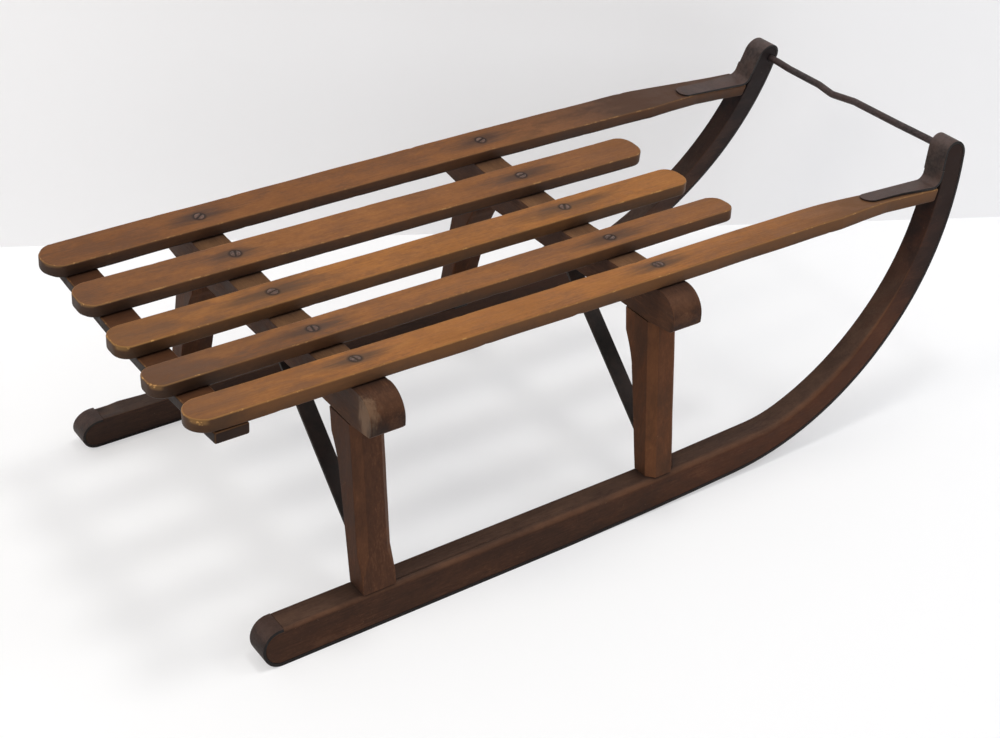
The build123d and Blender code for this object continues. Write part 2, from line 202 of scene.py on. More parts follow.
def makeWoodGrain():
    # fibres along X: wide bands, fine lines, short flecks, a fine tooth and a soft mottle
    inputs = [("Vector", "NodeSocketVector", None), ("Seed", "NodeSocketFloat", 0.0)]
    outputs = [(label, "NodeSocketFloat") for label in ("Shade", "Mottle", "Height")]
    tree, begin, end = newGroup("woodGrain", inputs, outputs)
    offset = newNode(tree, "ShaderNodeCombineXYZ")
    for socket, share in zip(offset.inputs, (0.37, 0.113, 0.071)):
        feed(tree, socket, math(tree, "MULTIPLY", begin.outputs["Seed"], share))
    shift = newNode(tree, "ShaderNodeVectorMath", operation="ADD")
    feed(tree, shift.inputs[0], begin.outputs["Vector"])
    feed(tree, shift.inputs[1], offset.outputs[0])

    def layer(kind, detail, rough, distortion=0.0):
        along, across = grainDense[kind]
        place = stretched(tree, shift.outputs["Vector"], (along, across, across))
        return noise(tree, place, 1.0, detail, rough, distortion)

    bands = layer("bands", 3.0, 0.55, 0.7)
    lines = layer("lines", 3.0, 0.62)
    flecks = layer("flecks", 2.0, 0.6)
    mottle = layer("mottle", 6.0, 0.68, 0.3)
    tooth = layer("tooth", 2.0, 0.6)
    fine = math(tree, "MULTIPLY_ADD", flecks, 0.4, math(tree, "MULTIPLY", lines, 0.3))
    fine = math(tree, "MULTIPLY_ADD", tooth, 0.3, fine)
    wide = math(tree, "MULTIPLY_ADD", bands, 0.4, math(tree, "MULTIPLY", mottle, 0.6))
    shade = math(tree, "MULTIPLY_ADD", wide, 0.6, math(tree, "MULTIPLY", fine, 0.4))
    feed(tree, end.inputs["Shade"], ramp(tree, shade, 0.36, 0.64))
    feed(tree, end.inputs["Mottle"], ramp(tree, mottle, 0.36, 0.66))
    feed(tree, end.inputs["Height"], math(tree, "MULTIPLY_ADD", mottle, 1.4, fine))
    return tree


def makeGrimeAndShade():
    # painted shade in corners and hollows, from ambient occlusion; loose dark blotches of dirt and small
    # specks
    inputs = [
        ("Vector", "NodeSocketVector", None),
        ("Reach", "NodeSocketFloat", 0.02),
        ("Blotch", "NodeSocketFloat", 14.0),
    ]
    outputs = [(label, "NodeSocketFloat") for label in ("CornerShade", "Blotches", "Specks")]
    tree, begin, end = newGroup("grimeAndShade", inputs, outputs)
    # painted shade where ambient occlusion finds the surface hemmed in
    hollow = newNode(tree, "ShaderNodeAmbientOcclusion", samples=6)
    feed(tree, hollow.inputs["Distance"], begin.outputs["Reach"])
    corners = ramp(tree, hollow.outputs["AO"], 0.95, 0.35)
    patchy = noise(tree, begin.outputs["Vector"], begin.outputs["Blotch"], 5.0, 0.62, 0.3)
    feed(tree, end.inputs["CornerShade"], corners)
    feed(tree, end.inputs["Blotches"], ramp(tree, patchy, 0.42, 0.7))
    specks = noise(tree, begin.outputs["Vector"], 520.0, 2.0, 0.5)
    feed(tree, end.inputs["Specks"], ramp(tree, specks, 0.71, 0.76))
    return tree


def makeScrewStain():
    # grey-black halo round one screw, longer along the grain, and a tight dark ring
    inputs = [
        ("Vector", "NodeSocketVector", None),
        ("Centre", "NodeSocketVector", None),
        ("Along", "NodeSocketFloat", 0.03),
        ("Across", "NodeSocketFloat", 0.012),
    ]
    outputs = [("Halo", "NodeSocketFloat"), ("Ring", "NodeSocketFloat")]
    tree, begin, end = newGroup("screwStain", inputs, outputs)
    away = newNode(tree, "ShaderNodeVectorMath", operation="SUBTRACT")
    feed(tree, away.inputs[0], begin.outputs["Vector"])
    feed(tree, away.inputs[1], begin.outputs["Centre"])
    split = newNode(tree, "ShaderNodeSeparateXYZ")
    feed(tree, split.inputs[0], away.outputs["Vector"])
    along = math(tree, "DIVIDE", split.outputs[0], begin.outputs["Along"])
    across = math(tree, "DIVIDE", split.outputs[1], begin.outputs["Across"])
    square = math(tree, "MULTIPLY_ADD", across, across, math(tree, "MULTIPLY", along, along))
    ragged = noise(tree, stretched(tree, begin.outputs["Vector"], (22.0, 190.0, 190.0)), 1.0, 4.0, 0.6)
    far = math(tree, "ADD", math(tree, "SQRT", square), math(tree, "MULTIPLY_ADD", ragged, 1.3, -0.65))
    feed(tree, end.inputs["Halo"], ramp(tree, far, 1.25, 0.15))
    near = newNode(tree, "ShaderNodeVectorMath", operation="LENGTH")
    feed(tree, near.inputs[0], away.outputs["Vector"])
    feed(tree, end.inputs["Ring"], ramp(tree, near.outputs["Value"], 0.0085, 0.0055))
    return tree


def makeFacing():
    # how far a face looks up or sideways, and masks of the arrises: where no axis is faced squarely,
    # and where the normal is on its way between sideways and any other direction
    outputs = [(label, "NodeSocketFloat") for label in ("Up", "Side", "Arris", "Flank")]
    tree, begin, end = newGroup("facing", [("Vector", "NodeSocketVector", None)], outputs)
    split = newNode(tree, "ShaderNodeSeparateXYZ")
    feed(tree, split.inputs[0], newNode(tree, "ShaderNodeNewGeometry").outputs["Normal"])
    x, y = (math(tree, "ABSOLUTE", split.outputs[i]) for i in (0, 1))
    z = split.outputs[2]
    ragged = noise(tree, begin.outputs["Vector"], 42.0, 3.0, 0.6)
    feed(tree, end.inputs["Up"], ramp(tree, math(tree, "MULTIPLY_ADD", ragged, 0.5, z), 0.6, 1.12))
    feed(tree, end.inputs["Side"], ramp(tree, y, 0.7, 0.92))
    square = math(tree, "MAXIMUM", math(tree, "MAXIMUM", x, y), math(tree, "ABSOLUTE", z))
    feed(tree, end.inputs["Arris"], ramp(tree, square, 0.975, 0.86))
    flank = math(tree, "MULTIPLY", ramp(tree, y, 0.25, 0.6), ramp(tree, y, 0.975, 0.8))
    feed(tree, end.inputs["Flank"], flank)
    return tree


edgeWear = makeEdgeWear()
woodGrain = makeWoodGrain()
grimeAndShade = makeGrimeAndShade()
screwStain = makeScrewStain()
facing = makeFacing()
print("shared effects ready")


def startMaterial(name):
    material = bpy.data.materials.new(name)
    material.use_nodes = True
    tree = material.node_tree
    shader = tree.nodes["Principled BSDF"]
    place = newNode(tree, "ShaderNodeTexCoord", (-1400, 0)).outputs["Object"]
    return material, tree, shader, place


def addBump(tree, shader, height, strength, distance):
    bump = newNode(tree, "ShaderNodeBump")
    bump.inputs["Strength"].default_value = strength
    bump.inputs["Distance"].default_value = distance
    feed(tree, bump.inputs["Height"], height)
    feed(tree, shader.inputs["Normal"], bump.outputs["Normal"])


# wood
# places along the slats are metres of X, heights are metres of Z
slatLooks = {
    "warm": rgb(0.30, 0.118, 0.033),
    "pale": rgb(0.375, 0.165, 0.052),
    "deep": rgb(0.185, 0.074, 0.025),
    "grey": rgb(0.102, 0.05, 0.027),
    # sideHigh, sideLow and under are painted shade: the sides darker than the top, darkest at the bottom,
    # and the undersides
    "sideHigh": rgb(0.135, 0.06, 0.025),
    "sideLow": rgb(0.06, 0.03, 0.017),
    "under": rgb(0.05, 0.027, 0.017),
    "stain": rgb(0.06, 0.036, 0.026),
    "ring": rgb(0.025, 0.016, 0.012),
    "worn": rgb(0.56, 0.30, 0.10),
    "paleShare": 0.6,
    "blotchShare": 0.3,
    "rearFrom": -0.16,         # the top turns greyer from here to the rear end
    "rearTo": -0.42,
    "foreFrom": 0.08,          # and from here forwards
    "noseFrom": 0.21,          # the rails darken up to the steel
    "noseTo": 0.37,
    "noseShare": 0.75,
    "endFrom": -0.375,         # the rear ends' sides are darker, their arrises paler
    "endTo": -0.42,
    "endShare": 0.55,
    "haloAcross": 0.012,
    "haloShare": 0.8,
    "ringShare": 0.85,
    "droopFrom": 0.269,        # the rails' tops fall from here
    "sideDeep": 0.012,
    "thick": 0.0145,
    # painted shade in the corners: how far it reaches and how much of it
    "cornerShadeReach": 0.014,
    "cornerShadeShare": 0.6,
    "arrisDeep": 0.006,
    "blotchDense": 13.0,
    "roughness": 0.56,
    "roughSpread": 0.16,
    "specular": 0.16,
    "bump": 0.0005,
}
frameLooks = {
    "warm": rgb(0.086, 0.035, 0.0165),
    "pale": rgb(0.13, 0.056, 0.026),
    "deep": rgb(0.04, 0.0185, 0.0105),
    "red": rgb(0.115, 0.036, 0.015),
    "grimeAndShade": rgb(0.022, 0.015, 0.012),
    "worn": rgb(0.20, 0.083, 0.036),
    "chip": rgb(0.2, 0.115, 0.062),
    "paleShare": 0.5,
    "blotchShare": 0.4,
    "redFrom": 0.02,           # redder wood from here forwards
    "redTo": 0.34,
    "topFade": 0.01,
    "chipShare": 0.75,
    "endFrom": 0.190,          # the beams' ends, as metres from the middle
    "endTo": 0.202,
    "endHigh": 0.240,
    "endLow": 0.220,
    "sootFrom": 0.37,          # the horns darken from here
    "sootTo": 0.45,
    # painted shade in the corners: how far it reaches and how much of it
    "cornerShadeReach": 0.016,
    "cornerShadeShare": 0.65,
    "speckShare": 0.35,
    "blotchDense": 10.0,
    "roughness": 0.54,
    "roughSpread": 0.16,
    "specular": 0.06,
    "bump": 0.0006,
}
grainBump = 0.3            # strength of the grain's relief on either wood


def times(tree, first, second):
    return math(tree, "MULTIPLY", first, second)


def wandering(tree, mottle, amount, value):
    # value, carried up to amount further by the mottle
    return math(tree, "MULTIPLY_ADD", mottle, amount, value)


def slatMaterial(name, setup, screws):
    # satin orange-brown top, greyer to its ends, stained halos round the screws; painted shade on the
    # sides, darker than the top and darkest at the bottom, and on the undersides
    material, tree, shader, place = startMaterial(name)
    look = slatLooks
    grain = useGroup(tree, woodGrain, Vector=place, Seed=setup["seed"])
    dirtAndShade = useGroup(tree, grimeAndShade, Vector=place, Reach=look["cornerShadeReach"], Blotch=look["blotchDense"])
    turned = useGroup(tree, facing, Vector=place)
    shade, mottle = grain.outputs["Shade"], grain.outputs["Mottle"]
    split = newNode(tree, "ShaderNodeSeparateXYZ")
    feed(tree, split.inputs[0], place)
    x, z = split.outputs[0], split.outputs[2]

    colour = blend(tree, ramp(tree, shade, 0.0, 0.75), look["deep"], look["warm"])
    pale = ramp(tree, shade, 0.6, 1.0, 0.0, look["paleShare"])
    colour = blend(tree, pale, colour, look["pale"])
    colour = blend(tree, times(tree, dirtAndShade.outputs["Blotches"], look["blotchShare"]), colour, look["deep"])
    along = wandering(tree, mottle, 0.1, x)
    rearward = ramp(tree, along, look["rearFrom"], look["rearTo"], 0.0, setup["rearGrey"])
    forward = ramp(tree, along, look["foreFrom"], setup["foreTo"], 0.0, setup["foreGrey"])
    nose = wandering(tree, mottle, 0.05, x)
    nose = ramp(tree, nose, look["noseFrom"], look["noseTo"], 0.0, look["noseShare"])
    for share in (rearward, nose, forward):
        colour = blend(tree, share, colour, look["grey"])
    for centre, reach in zip(screws, setup["along"]):
        spot = {"Centre": centre, "Along": reach, "Across": look["haloAcross"]}
        stain = useGroup(tree, screwStain, Vector=place, **spot)
        colour = blend(tree, times(tree, stain.outputs["Halo"], look["haloShare"]), colour, look["stain"])
        colour = blend(tree, times(tree, stain.outputs["Ring"], look["ringShare"]), colour, look["ring"])

    # level is the height above the floor, less what the rail's top has fallen
    past = math(tree, "MAXIMUM", math(tree, "SUBTRACT", x, look["droopFrom"]), 0.0)
    level = math(tree, "ADD", z, times(tree, past, setup["fall"]))
    top = setup["top"]
    # painted shade: the sides take a darker colour than the top, darker still towards the bottom
    high = ramp(tree, wandering(tree, mottle, 0.004, level), top - look["sideDeep"], top + 0.002)
    side = blend(tree, high, look["sideLow"], look["sideHigh"])
    side = blend(tree, times(tree, shade, 0.4), side, look["deep"])
    atRear = ramp(tree, wandering(tree, mottle, 0.02, x), look["endFrom"], look["endTo"])
    side = blend(tree, times(tree, atRear, look["endShare"]), side, look["ring"])
    # painted shade: the sides darker still by the piece's share
    side = blend(tree, setup["sideDark"], side, look["ring"])
    # faces that look up keep the top's colour, the rest take the painted shade
    colour = blend(tree, turned.outputs["Up"], side, colour)
    # painted shade on the undersides
    below = ramp(tree, level, top - look["thick"] + 0.001, top - look["thick"])
    colour = blend(tree, below, colour, look["under"])
    # painted shade in the corners
    colour = blend(tree, times(tree, dirtAndShade.outputs["CornerShade"], look["cornerShadeShare"]), colour, look["ring"])

    # pale wood where the arris is rubbed through in patches, and a thin even painted highlight along
    # every top arris
    patchy = noise(tree, stretched(tree, place, (90.0, 200.0, 200.0)), 1.0, 4.0, 0.7)
    patchy = math(tree, "MULTIPLY_ADD", ramp(tree, patchy, 0.56, 0.64), 0.5, 0.16)
    arris = times(tree, turned.outputs["Arris"], patchy)
    upper = ramp(tree, level, top - look["arrisDeep"], top - 0.5 * look["arrisDeep"])
    arris = times(tree, arris, upper)
    arris = math(tree, "MULTIPLY", arris, math(tree, "MULTIPLY_ADD", atRear, 0.8, 0.9), clamp=True)
    colour = blend(tree, arris, colour, look["worn"])
    colour = blend(tree, 1.0, colour, rgb(*setup["tint"]), "MULTIPLY")
    feed(tree, shader.inputs["Base Color"], colour)
    spread = look["roughSpread"]
    rough = wandering(tree, mottle, spread, look["roughness"] - 0.5 * spread)
    feed(tree, shader.inputs["Roughness"], wandering(tree, dirtAndShade.outputs["Blotches"], 0.08, rough))
    shader.inputs["Specular IOR Level"].default_value = look["specular"]
    addBump(tree, shader, grain.outputs["Height"], grainBump, look["bump"])
    return material


def tornPatch(tree, place, centre, reach):
    # ragged mask round centre, twice as tall as it is wide
    squash = 0.5
    away = newNode(tree, "ShaderNodeVectorMath", operation="DISTANCE")
    feed(tree, away.inputs[0], stretched(tree, place, (1.0, 1.0, squash)))
    away.inputs[1].default_value = (centre[0], centre[1], squash * centre[2])
    ragged = noise(tree, stretched(tree, place, (240.0, 240.0, 60.0)), 1.0, 4.0, 0.65)
    far = math(tree, "MULTIPLY_ADD", ragged, 1.1 * reach, away.outputs["Value"])
    return ramp(tree, far, 1.25 * reach, 0.8 * reach, 0.0, frameLooks["chipShare"])


def frameMaterial(name, setup):
    # dark oiled hardwood, redder in patches; the faces that look up take their own tone, a painted light,
    # lighter than the sides on the beams
    material, tree, shader, place = startMaterial(name)
    look = frameLooks
    fibres = stretched(tree, place, (1.0, 1.0, 1.0), turn=setup["turn"])
    grain = useGroup(tree, woodGrain, Vector=fibres, Seed=setup["seed"])
    dirtAndShade = useGroup(tree, grimeAndShade, Vector=place, Reach=look["cornerShadeReach"], Blotch=look["blotchDense"])
    turned = useGroup(tree, facing, Vector=place)
    shade, mottle = grain.outputs["Shade"], grain.outputs["Mottle"]
    split = newNode(tree, "ShaderNodeSeparateXYZ")
    feed(tree, split.inputs[0], place)
    x, z = split.outputs[0], split.outputs[2]
    aside = math(tree, "ABSOLUTE", split.outputs[1])

    colour = blend(tree, shade, look["deep"], look["warm"])
    pale = ramp(tree, shade, 0.62, 1.0, 0.0, look["paleShare"])
    colour = blend(tree, pale, colour, look["pale"])
    redder = wandering(tree, mottle, 0.12, x)
    redder = ramp(tree, redder, look["redFrom"], look["redTo"], 0.0, setup["red"])
    colour = blend(tree, redder, colour, look["red"])
    colour = blend(tree, times(tree, dirtAndShade.outputs["Blotches"], look["blotchShare"]), colour, look["deep"])
    # painted light: faces that look up take their own tone, on the beams lighter than their sides
    topTone = blend(tree, shade, rgb(*setup["topLow"]), rgb(*setup["topHigh"]))
    within = ramp(tree, aside, setup["topTo"] + look["topFade"], setup["topTo"])
    colour = blend(tree, times(tree, turned.outputs["Up"], within), colour, topTone)
    for centre, reach in setup["chips"]:
        colour = blend(tree, tornPatch(tree, place, centre, reach), colour, look["chip"])
    # the beams' ends darken towards the bottom
    outer = ramp(tree, aside, look["endFrom"], look["endTo"])
    lower = wandering(tree, mottle, 0.012, z)
    lower = ramp(tree, lower, look["endHigh"], look["endLow"], 0.0, setup["endDark"])
    colour = blend(tree, times(tree, outer, lower), colour, look["grimeAndShade"])
    # the rounded flanks turn paler: rubbed wood in part, a painted highlight in part
    rubbedAndHighlit = times(tree, turned.outputs["Flank"], math(tree, "MULTIPLY_ADD", mottle, 0.5, 0.5))
    colour = blend(tree, times(tree, rubbedAndHighlit, setup["rubbedAndHighlit"]), colour, look["worn"])
    sooty = wandering(tree, mottle, 0.04, x)
    sooty = ramp(tree, sooty, look["sootFrom"], look["sootTo"], 0.0, setup["soot"])
    colour = blend(tree, sooty, colour, look["grimeAndShade"])
    # painted shade in the corners
    colour = blend(tree, times(tree, dirtAndShade.outputs["CornerShade"], look["cornerShadeShare"]), colour, look["grimeAndShade"])
    colour = blend(tree, times(tree, dirtAndShade.outputs["Specks"], look["speckShare"]), colour, look["chip"])
    colour = blend(tree, 1.0, colour, rgb(*setup["tint"]), "MULTIPLY")
    feed(tree, shader.inputs["Base Color"], colour)
    spread = look["roughSpread"]
    rough = wandering(tree, mottle, spread, look["roughness"] - 0.5 * spread)
    feed(tree, shader.inputs["Roughness"], rough)
    shader.inputs["Specular IOR Level"].default_value = look["specular"]
    addBump(tree, shader, grain.outputs["Height"], grainBump, look["bump"])
    return material


# steel
steelLooks = {
    "dark": rgb(0.02, 0.015, 0.0135),
    "brown": rgb(0.055, 0.036, 0.029),
    "grey": rgb(0.12, 0.09, 0.08),
    "rust": rgb(0.085, 0.034, 0.017),
    "black": rgb(0.011, 0.008, 0.0075),
    "rustShare": 0.25,
    "edgeShare": 0.3,
    "edgeRadius": 0.0012,
    "edgeDense": 90.0,
    "blotchDense": 34.0,
    # painted shade in the corners: how far it reaches and how much of it
    "cornerShadeReach": 0.01,
    "cornerShadeShare": 0.6,
    "foreFrom": 0.1,           # metres of X over which the rear tone turns into the fore tone
    "foreTo": 0.44,
    "metallic": 0.2,
    "specular": 0.3,
    "roughness": 0.52,
    "pitShare": 0.5,
    "bump": 0.0005,
    "bumpStrength": 0.35,
}


def steelMaterial(name, setup):
    # old browned iron: painted shade in the hollows, greyer rubbed faces, dust and a painted sheen on
    # faces that look up, faint rust, pits, near-black painted shade on the thin sideways edges
    material, tree, shader, place = startMaterial(name)
    look = steelLooks
    moved = stretched(tree, place, (1.0, 1.0, 1.0), place=(setup["seed"], setup["seed"], 0.0))
    cloud = noise(tree, moved, 30.0, 6.0, 0.62, 0.2)
    fine = noise(tree, moved, 260.0, 4.0, 0.6)
    pits = noise(tree, moved, 640.0, 2.0, 0.5)
    dirtAndShade = useGroup(tree, grimeAndShade, Vector=moved, Reach=look["cornerShadeReach"], Blotch=look["blotchDense"])
    rim = {"Radius": look["edgeRadius"], "Breakup": look["edgeDense"]}
    edge = useGroup(tree, edgeWear, Vector=moved, **rim)
    turned = useGroup(tree, facing, Vector=place)

    colour = blend(tree, ramp(tree, cloud, 0.36, 0.66), look["dark"], look["brown"])
    # greyer where rubbed, and on faces that look up dust with a painted sheen
    rubbedAndHighlit = times(tree, ramp(tree, fine, 0.32, 0.7), setup["patina"])
    rubbedAndHighlit = math(tree, "MULTIPLY_ADD", turned.outputs["Up"], setup["dustAndSheen"], rubbedAndHighlit, clamp=True)
    colour = blend(tree, rubbedAndHighlit, colour, look["grey"])
    colour = blend(tree, times(tree, dirtAndShade.outputs["Blotches"], look["rustShare"]), colour, look["rust"])
    # painted shade: faces that look sideways turn near black
    colour = blend(tree, times(tree, turned.outputs["Side"], setup["sideShade"]), colour, look["black"])
    colour = blend(tree, times(tree, edge.outputs["Mask"], look["edgeShare"]), colour, look["grey"])
    # painted shade in the corners
    colour = blend(tree, times(tree, dirtAndShade.outputs["CornerShade"], look["cornerShadeShare"]), colour, look["black"])
    split = newNode(tree, "ShaderNodeSeparateXYZ")
    feed(tree, split.inputs[0], place)
    forward = ramp(tree, split.outputs[0], look["foreFrom"], look["foreTo"])
    tone = blend(tree, forward, rgb(*setup["rearTone"]), rgb(*setup["foreTone"]))
    colour = blend(tree, 1.0, colour, tone, "MULTIPLY")
    feed(tree, shader.inputs["Base Color"], colour)
    shader.inputs["Metallic"].default_value = look["metallic"]
    shader.inputs["Specular IOR Level"].default_value = look["specular"]
    rough = math(tree, "MULTIPLY_ADD", fine, 0.3, look["roughness"] - 0.1)
    feed(tree, shader.inputs["Roughness"], rough)
    height = math(tree, "MULTIPLY_ADD", ramp(tree, pits, 0.3, 0.6), look["pitShare"], fine)
    addBump(tree, shader, height, look["bumpStrength"], look["bump"])
    return material


# dressed copies of the CAD pieces, cut into stations, worn and rounded
mergeGap = 0.000002            # metres; vertices closer than this are one
planeGap = 0.00001             # vertices this near a cutting plane lie on it
flatAngle = radians(0.6)       # faces that turn less than this are one face
arrisAngle = radians(32)       # and edges that turn more than this are arrises
# the sums of sines by which arrises wear: how many, how fast, and where the quick one cuts notches
wearWaves = {"count": 5, "slow": 55.0, "quick": 330.0, "notchFrom": 0.45}


def cutStations(shape, axis, step, rear, fore):
    # planes across the piece, so that its arrises can waver or fade between them
    spots = [vertex.co[axis] for vertex in shape.verts]
    first, last = min(spots) + rear, max(spots) - fore
    normal = Vector([float(i == axis) for i in range(3)])
    for spot in np.linspace(first, last, int((last - first) / step)):
        every = shape.verts[:] + shape.edges[:] + shape.faces[:]
        centre = normal * float(spot)
        bmesh.ops.bisect_plane(shape, geom=every, dist=planeGap, plane_co=centre, plane_no=normal)


def wearArrises(mesh, corners, inward, amount, notch, seed):
    # each arris point moves inward by amount times a sum of sines of its place, never outward,
    # plus a few deeper notches where a faster sum peaks
    rng = np.random.default_rng(seed)
    points = np.empty(len(mesh.vertices) * 3)
    mesh.vertices.foreach_get("co", points)
    points = points.reshape(-1, 3)
    spots = points[corners]
    slow, quick = np.zeros(len(spots)), np.zeros(len(spots))
    for _ in range(wearWaves["count"]):
        way = rng.normal(size=3)
        for total, pace in ((slow, wearWaves["slow"]), (quick, wearWaves["quick"])):
            total += np.sin(spots @ (way * pace) + rng.uniform(0.0, 2 * pi)) / wearWaves["count"]
    notches = notch * np.clip(quick - wearWaves["notchFrom"], 0.0, 1.0)
    depth = amount * (0.5 + 0.5 * slow + notches)
    points[corners] = spots + inward * depth[:, None]
    mesh.vertices.foreach_set("co", points.ravel())
    mesh.update()


def dressNode(name, material, setup):
    # the node's own shape, its arrises worn by wearArrises and rounded by a bevel
    mesh = nodes[name].data.copy()
    shape = bmesh.new()
    shape.from_mesh(mesh)
    bmesh.ops.remove_doubles(shape, verts=shape.verts, dist=mergeGap)
    bmesh.ops.dissolve_limit(shape, angle_limit=flatAngle, verts=shape.verts, edges=shape.edges)
    for cut in setup["cuts"]:
        cutStations(shape, *cut)
    bmesh.ops.remove_doubles(shape, verts=shape.verts, dist=setup["join"])
    weight = shape.edges.layers.float.new("bevel_weight_edge")
    shape.normal_update()
    shape.verts.index_update()
    shape.verts.ensure_lookup_table()
    sharp = [e for e in shape.edges if len(e.link_faces) == 2 and e.calc_face_angle() > arrisAngle]
    worn = sorted({v.index for e in sharp for v in e.verts})
    inward = np.array([-shape.verts[i].normal for i in worn]).reshape(-1, 3)
    for e in sharp:
        e[weight] = arrisShare(e, setup["mainSide"], setup["others"])
    shape.to_mesh(mesh)
    shape.free()
    if setup["wear"]:
        wearArrises(mesh, np.array(worn), inward, setup["wear"], setup["notch"], len(worn))
    mesh.materials.clear()
    mesh.materials.append(material)
    mesh.polygons.foreach_set("use_smooth", np.ones(len(mesh.polygons), dtype=bool))
    mesh.set_sharp_from_angle(angle=arrisAngle)
    piece = bpy.data.objects.new(name + "_dressed", mesh)
    bpy.context.scene.collection.objects.link(piece)
    if setup["arris"]:
        bevel = piece.modifiers.new("arris", "BEVEL")
        bevel.width = setup["arris"]
        bevel.segments = setup["segments"]
        bevel.limit_method = "WEIGHT"
        bevel.use_clamp_overlap = setup["clamp"]
        bevel.harden_normals = True
    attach(piece, "root")
    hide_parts(name)


# the runners' broad rounding: it starts and ends over these metres of X, on the arris whose faces
# look outward and upward at least this far, upward being Z less a share of X
arrisFade = {
    "rear": -0.395,
    "rearRun": 0.05,
    "fore": 0.39,
    "foreRun": 0.12,
    "outward": 0.8,
    "upward": 0.4,
    "share": 0.5,
}


def arrisShare(edge, side, others):
    # full on every arris where side is 0; else only on the runner's long arris between its outer
    # face and its upper line, fading out towards the heel and the horn
    if not side:
        return 1.0
    normals = [face.normal for face in edge.link_faces]
    outward = max(n.y * side for n in normals)
    upward = max(n.z - arrisFade["share"] * n.x for n in normals)
    if outward < arrisFade["outward"] or upward < arrisFade["upward"]:
        return others
    x = (edge.verts[0].co.x + edge.verts[1].co.x) / 2
    fromHeel = min(max((x - arrisFade["rear"]) / arrisFade["rearRun"], 0.0), 1.0)
    fromHorn = min(max((arrisFade["fore"] - x) / arrisFade["foreRun"], 0.0), 1.0)
    return others + (1.0 - others) * fromHeel * fromHorn


# screws at the crossings of slats and beams: x, y, slot's turn
screwRows = {
    "rail_left": [(-0.2920, 0.1468, 35.0), (0.0460, 0.1524, 20.0)],
    "slat_left": [(-0.2923, 0.0726, 70.0), (0.0423, 0.0722, 10.0)],
    "slat_middle": [(-0.2940, -0.0023, 15.0), (0.0431, -0.0023, 60.0)],
    "slat_right": [(-0.2964, -0.0792, 80.0), (0.0406, -0.0795, 25.0)],
    "rail_right": [(-0.2926, -0.1450, 100.0), (0.0431, -0.1505, 95.0)],
    "batten_rear": [],
}
# degrees each slat's outer edge is raised by
slatLean = {
    "rail_left": 5.2,
    "slat_left": 3.27,
    "slat_middle": 0.0,
    "slat_right": -3.27,
    "rail_right": -5.2,
}


def slatTop(name, y):
    # height of a slat's top at y, down its lean from the outer edge
    low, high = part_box(name)
    edge = high.y if y > 0 else -low.y
    return high.z - (edge - abs(y)) * tan(radians(abs(slatLean[name])))


# shape dictionaries: cuts are axis, step and the margins left at both ends; vertices closer than
# join are merged; wear and notch are wearArrises's; arris is the bevel's width; others is the share
# of it on a runner's lesser arrises
slatShape = {
    "cuts": [(0, 0.006, 0.019, 0.019)],
    "join": 0.0009,
    "wear": 0.0009,
    "notch": 1.6,
    "arris": 0.002,
    "segments": 3,
    "clamp": False,
    "mainSide": 0,
    "others": 1.0,
}
# top is the height of the outer edge, fall the rails' slope at the nose, along each halo's reach
slatSetup = {
    "rail_left": {
        "seed": 1.0, "tint": (0.65, 0.65, 0.72), "along": (0.04, 0.05), "rearGrey": 0.25,
        "foreGrey": 1.0, "foreTo": 0.3, "top": 0.2584, "fall": 0.0647, "sideDark": 0.0,
    },
    "slat_left": {
        "seed": 2.3, "tint": (0.75, 0.76, 0.82), "along": (0.035, 0.06), "rearGrey": 0.45,
        "foreGrey": 0.3, "foreTo": 0.3, "top": 0.2543, "fall": 0.0, "sideDark": 0.1,
    },
    "slat_middle": {
        "seed": 3.1, "tint": (0.93, 0.93, 0.84), "along": (0.07, 0.07), "rearGrey": 0.65,
        "foreGrey": 0.0, "foreTo": 0.3, "top": 0.2510, "fall": 0.0, "sideDark": 0.1,
    },
    "slat_right": {
        "seed": 4.7, "tint": (0.78, 0.78, 0.8), "along": (0.05, 0.06), "rearGrey": 0.8,
        "foreGrey": 0.2, "foreTo": 0.3, "top": 0.2543, "fall": 0.0, "sideDark": 0.1,
    },
    "rail_right": {
        "seed": 5.2, "tint": (0.93, 0.92, 0.84), "along": (0.045, 0.045), "rearGrey": 0.55,
        "foreGrey": 0.3, "foreTo": 0.42, "top": 0.2584, "fall": 0.0647, "sideDark": 0.0,
    },
    "batten_rear": {
        "seed": 6.4, "tint": (0.34, 0.31, 0.34), "along": (), "rearGrey": 0.5,
        "foreGrey": 0.0, "foreTo": 0.3, "top": 0.2380, "fall": 0.0, "sideDark": 0.45,
    },
}
for name, setup in slatSetup.items():
    centres = [(x, y, slatTop(name, y)) for x, y, _ in screwRows[name]]
    dressNode(name, slatMaterial(name + "_wood", setup, centres), slatShape)
print("slats dressed")

# turns that lay the fibres along X, along Y and along Z
grainAlong, grainAcross, grainUpright = (0.0, 0.0, 0.0), (0.0, 0.0, pi / 2), (0.0, pi / 2, 0.0)
runnerTone = {
    # the top tone is painted light on the faces that look up
    "topLow": (0.054, 0.028, 0.017),
    "topHigh": (0.11, 0.057, 0.032),
    "topTo": 1.0,          # the top's own tone ends this far from the middle
    # the paler flanks: rubbed wood in part, a painted highlight in part
    "rubbedAndHighlit": 0.42,
    "soot": 0.85,
    "endDark": 0.0,
}
beamTone = {
    # the top tone is painted light on the faces that look up
    "topLow": (0.092, 0.043, 0.02),
    "topHigh": (0.172, 0.082, 0.035),
    "topTo": 0.14,
    # the paler flanks: rubbed wood in part, a painted highlight in part
    "rubbedAndHighlit": 0.25,
    "soot": 0.0,
    "endDark": 0.7,
}
postTone = {**runnerTone, "rubbedAndHighlit": 0.2, "soot": 0.0}
